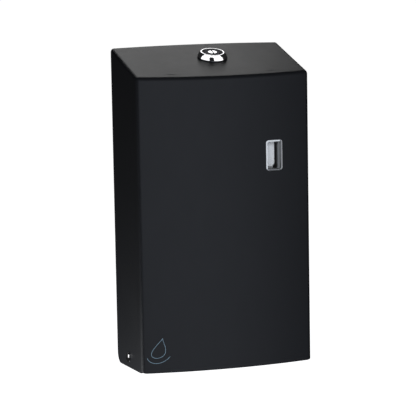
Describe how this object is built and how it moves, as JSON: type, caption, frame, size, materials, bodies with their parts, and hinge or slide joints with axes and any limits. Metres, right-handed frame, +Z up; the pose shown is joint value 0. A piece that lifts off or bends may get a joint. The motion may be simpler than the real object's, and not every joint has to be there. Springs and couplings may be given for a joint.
{
  "type": "wall mounted soap dispenser",
  "caption": "Touch-free soap dispenser for a wall, with a lockable black steel cover, a level window, a soap tank and a battery driven tube pump.",
  "frame": {"origin": "on the wall face of the back plate, in the middle of its width, 118 mm above the cover's front lower edge", "axes": "+Y into the wall, so the front faces -Y; +Z up; +X to the right as seen from the front"},
  "size_m": [0.1388, 0.0741, 0.2445],
  "materials": {
    "black_paint": "matt textured black powder coat on sheet steel",
    "chrome_lock": "polished chrome plating",
    "bright_steel": "bright zinc plated steel",
    "galvanised_steel": "galvanised sheet with a faint spangle",
    "clear_window": "clear moulded polycarbonate",
    "white_plastic": "satin white moulded plastic",
    "milky_tank": "milky translucent blow moulded polyethylene",
    "grey_plastic": "fine spark eroded texture",
    "dark_plastic": "fine spark eroded texture",
    "blue_cap": "moulded polypropylene with grip ribs",
    "silicone": "translucent silicone tube",
    "black_rubber": "matt rubber",
    "nylon": "natural nylon",
    "acetal": "natural acetal",
    "sensor_red": "dark red infrared window",
    "board_green": "solder mask with components",
    "cell_wrap": "printed shrink sleeve",
    "lead_red": "PVC insulation",
    "lead_black": "PVC insulation"
  },
  "bodies": {
    "chassis": {"back_plate": "galvanised_steel", "catch_bracket": "bright_steel", "catch_rivet_1": "bright_steel", "catch_rivet_2": "bright_steel", "pivot_rivet_left": "chrome_lock", "pivot_rivet_right": "chrome_lock", "pivot_washer_left": "nylon", "pivot_washer_right": "nylon", "base_tray": "dark_plastic", "nozzle": "dark_plastic", "outlet_valve": "silicone", "sensor_window": "sensor_red", "control_board": "board_green", "ir_emitter": "clear_window", "ir_receiver": "black_rubber", "switch_case": "bright_steel", "soap_tank": "milky_tank", "level_block": "milky_tank", "tank_cradle": "dark_plastic", "spigot_grommet": "black_rubber", "pump_tube": "silicone", "pump_housing": "grey_plastic", "pump_lid": "clear_window", "lid_screw_1": "bright_steel", "lid_screw_2": "bright_steel", "lid_screw_3": "bright_steel", "compound_axle": "bright_steel", "motor_mount": "dark_plastic", "drive_motor": "bright_steel", "battery_box": "dark_plastic", "battery_door": "dark_plastic", "battery_1": "cell_wrap", "battery_2": "cell_wrap", "battery_3": "cell_wrap", "battery_4": "cell_wrap", "contact_springs": "bright_steel", "contact_strip": "bright_steel", "motor_lead_red": "lead_red", "motor_lead_black": "lead_black", "battery_lead_red": "lead_red", "battery_lead_black": "lead_black"},
    "cover": {"cover_shell": "black_paint", "window_frame": "white_plastic", "window_lens": "clear_window", "lock_barrel": "chrome_lock", "lock_washer": "bright_steel", "lock_nut": "bright_steel"},
    "lock_turning": {"lock_plug": "chrome_lock", "lock_cam": "bright_steel", "cam_screw": "bright_steel"},
    "cap": {"tank_cap": "blue_cap", "cap_seal": "black_rubber"},
    "rotor": {"pump_rotor": "acetal", "output_gear": "acetal"},
    "roller_1": {"pump_roller_1": "bright_steel"},
    "roller_2": {"pump_roller_2": "bright_steel"},
    "roller_3": {"pump_roller_3": "bright_steel"},
    "compound": {"compound_gear": "nylon"},
    "pinion": {"motor_pinion": "bright_steel"},
    "switch": {"switch_slider": "dark_plastic"}
  },
  "joints": [
    {"name": "cover_hinge", "type": "hinge", "parent": "chassis", "child": "cover", "pos_m": [0, -0.0319, -0.1121], "axis": [1, 0, 0], "range_deg": [0, 115]},
    {"name": "lock_turn", "type": "hinge", "parent": "cover", "child": "lock_turning", "pos_m": [0.003, -0.0326, 0.11349], "axis": [0, 0.2554, -0.9668], "range_deg": [0, 90]},
    {"name": "cap_turn", "type": "hinge", "parent": "chassis", "child": "cap", "pos_m": [-0.028, -0.034, 0.085], "axis": [0, 0, 1], "range_deg": [0, 90]},
    {"name": "rotor_spin", "type": "hinge", "parent": "chassis", "child": "rotor", "pos_m": [0.024, -0.05, -0.066], "axis": [0, 1, 0], "continuous": true},
    {"name": "roller_1_spin", "type": "hinge", "parent": "rotor", "child": "roller_1", "pos_m": [0.024, -0.051, -0.0579], "axis": [0, 1, 0], "continuous": true},
    {"name": "roller_2_spin", "type": "hinge", "parent": "rotor", "child": "roller_2", "pos_m": [0.01699, -0.051, -0.07005], "axis": [0, 1, 0], "continuous": true},
    {"name": "roller_3_spin", "type": "hinge", "parent": "rotor", "child": "roller_3", "pos_m": [0.03102, -0.051, -0.07005], "axis": [0, 1, 0], "continuous": true},
    {"name": "compound_spin", "type": "hinge", "parent": "chassis", "child": "compound", "pos_m": [0.03786, -0.037, -0.074], "axis": [0, 1, 0], "continuous": true},
    {"name": "pinion_spin", "type": "hinge", "parent": "chassis", "child": "pinion", "pos_m": [0.024, -0.034, -0.082], "axis": [0, 1, 0], "continuous": true},
    {"name": "switch_slide", "type": "slide", "parent": "chassis", "child": "switch", "axis": [1, 0, 0], "range_m": [0, 0.0034]}
  ],
  "couplings": [
    {"joint": "roller_1_spin", "follows": "rotor_spin", "ratio": -3.3143},
    {"joint": "roller_2_spin", "follows": "rotor_spin", "ratio": -3.3143},
    {"joint": "roller_3_spin", "follows": "rotor_spin", "ratio": -3.3143},
    {"joint": "compound_spin", "follows": "rotor_spin", "ratio": -2.3333},
    {"joint": "pinion_spin", "follows": "rotor_spin", "ratio": 5.4444}
  ]
}
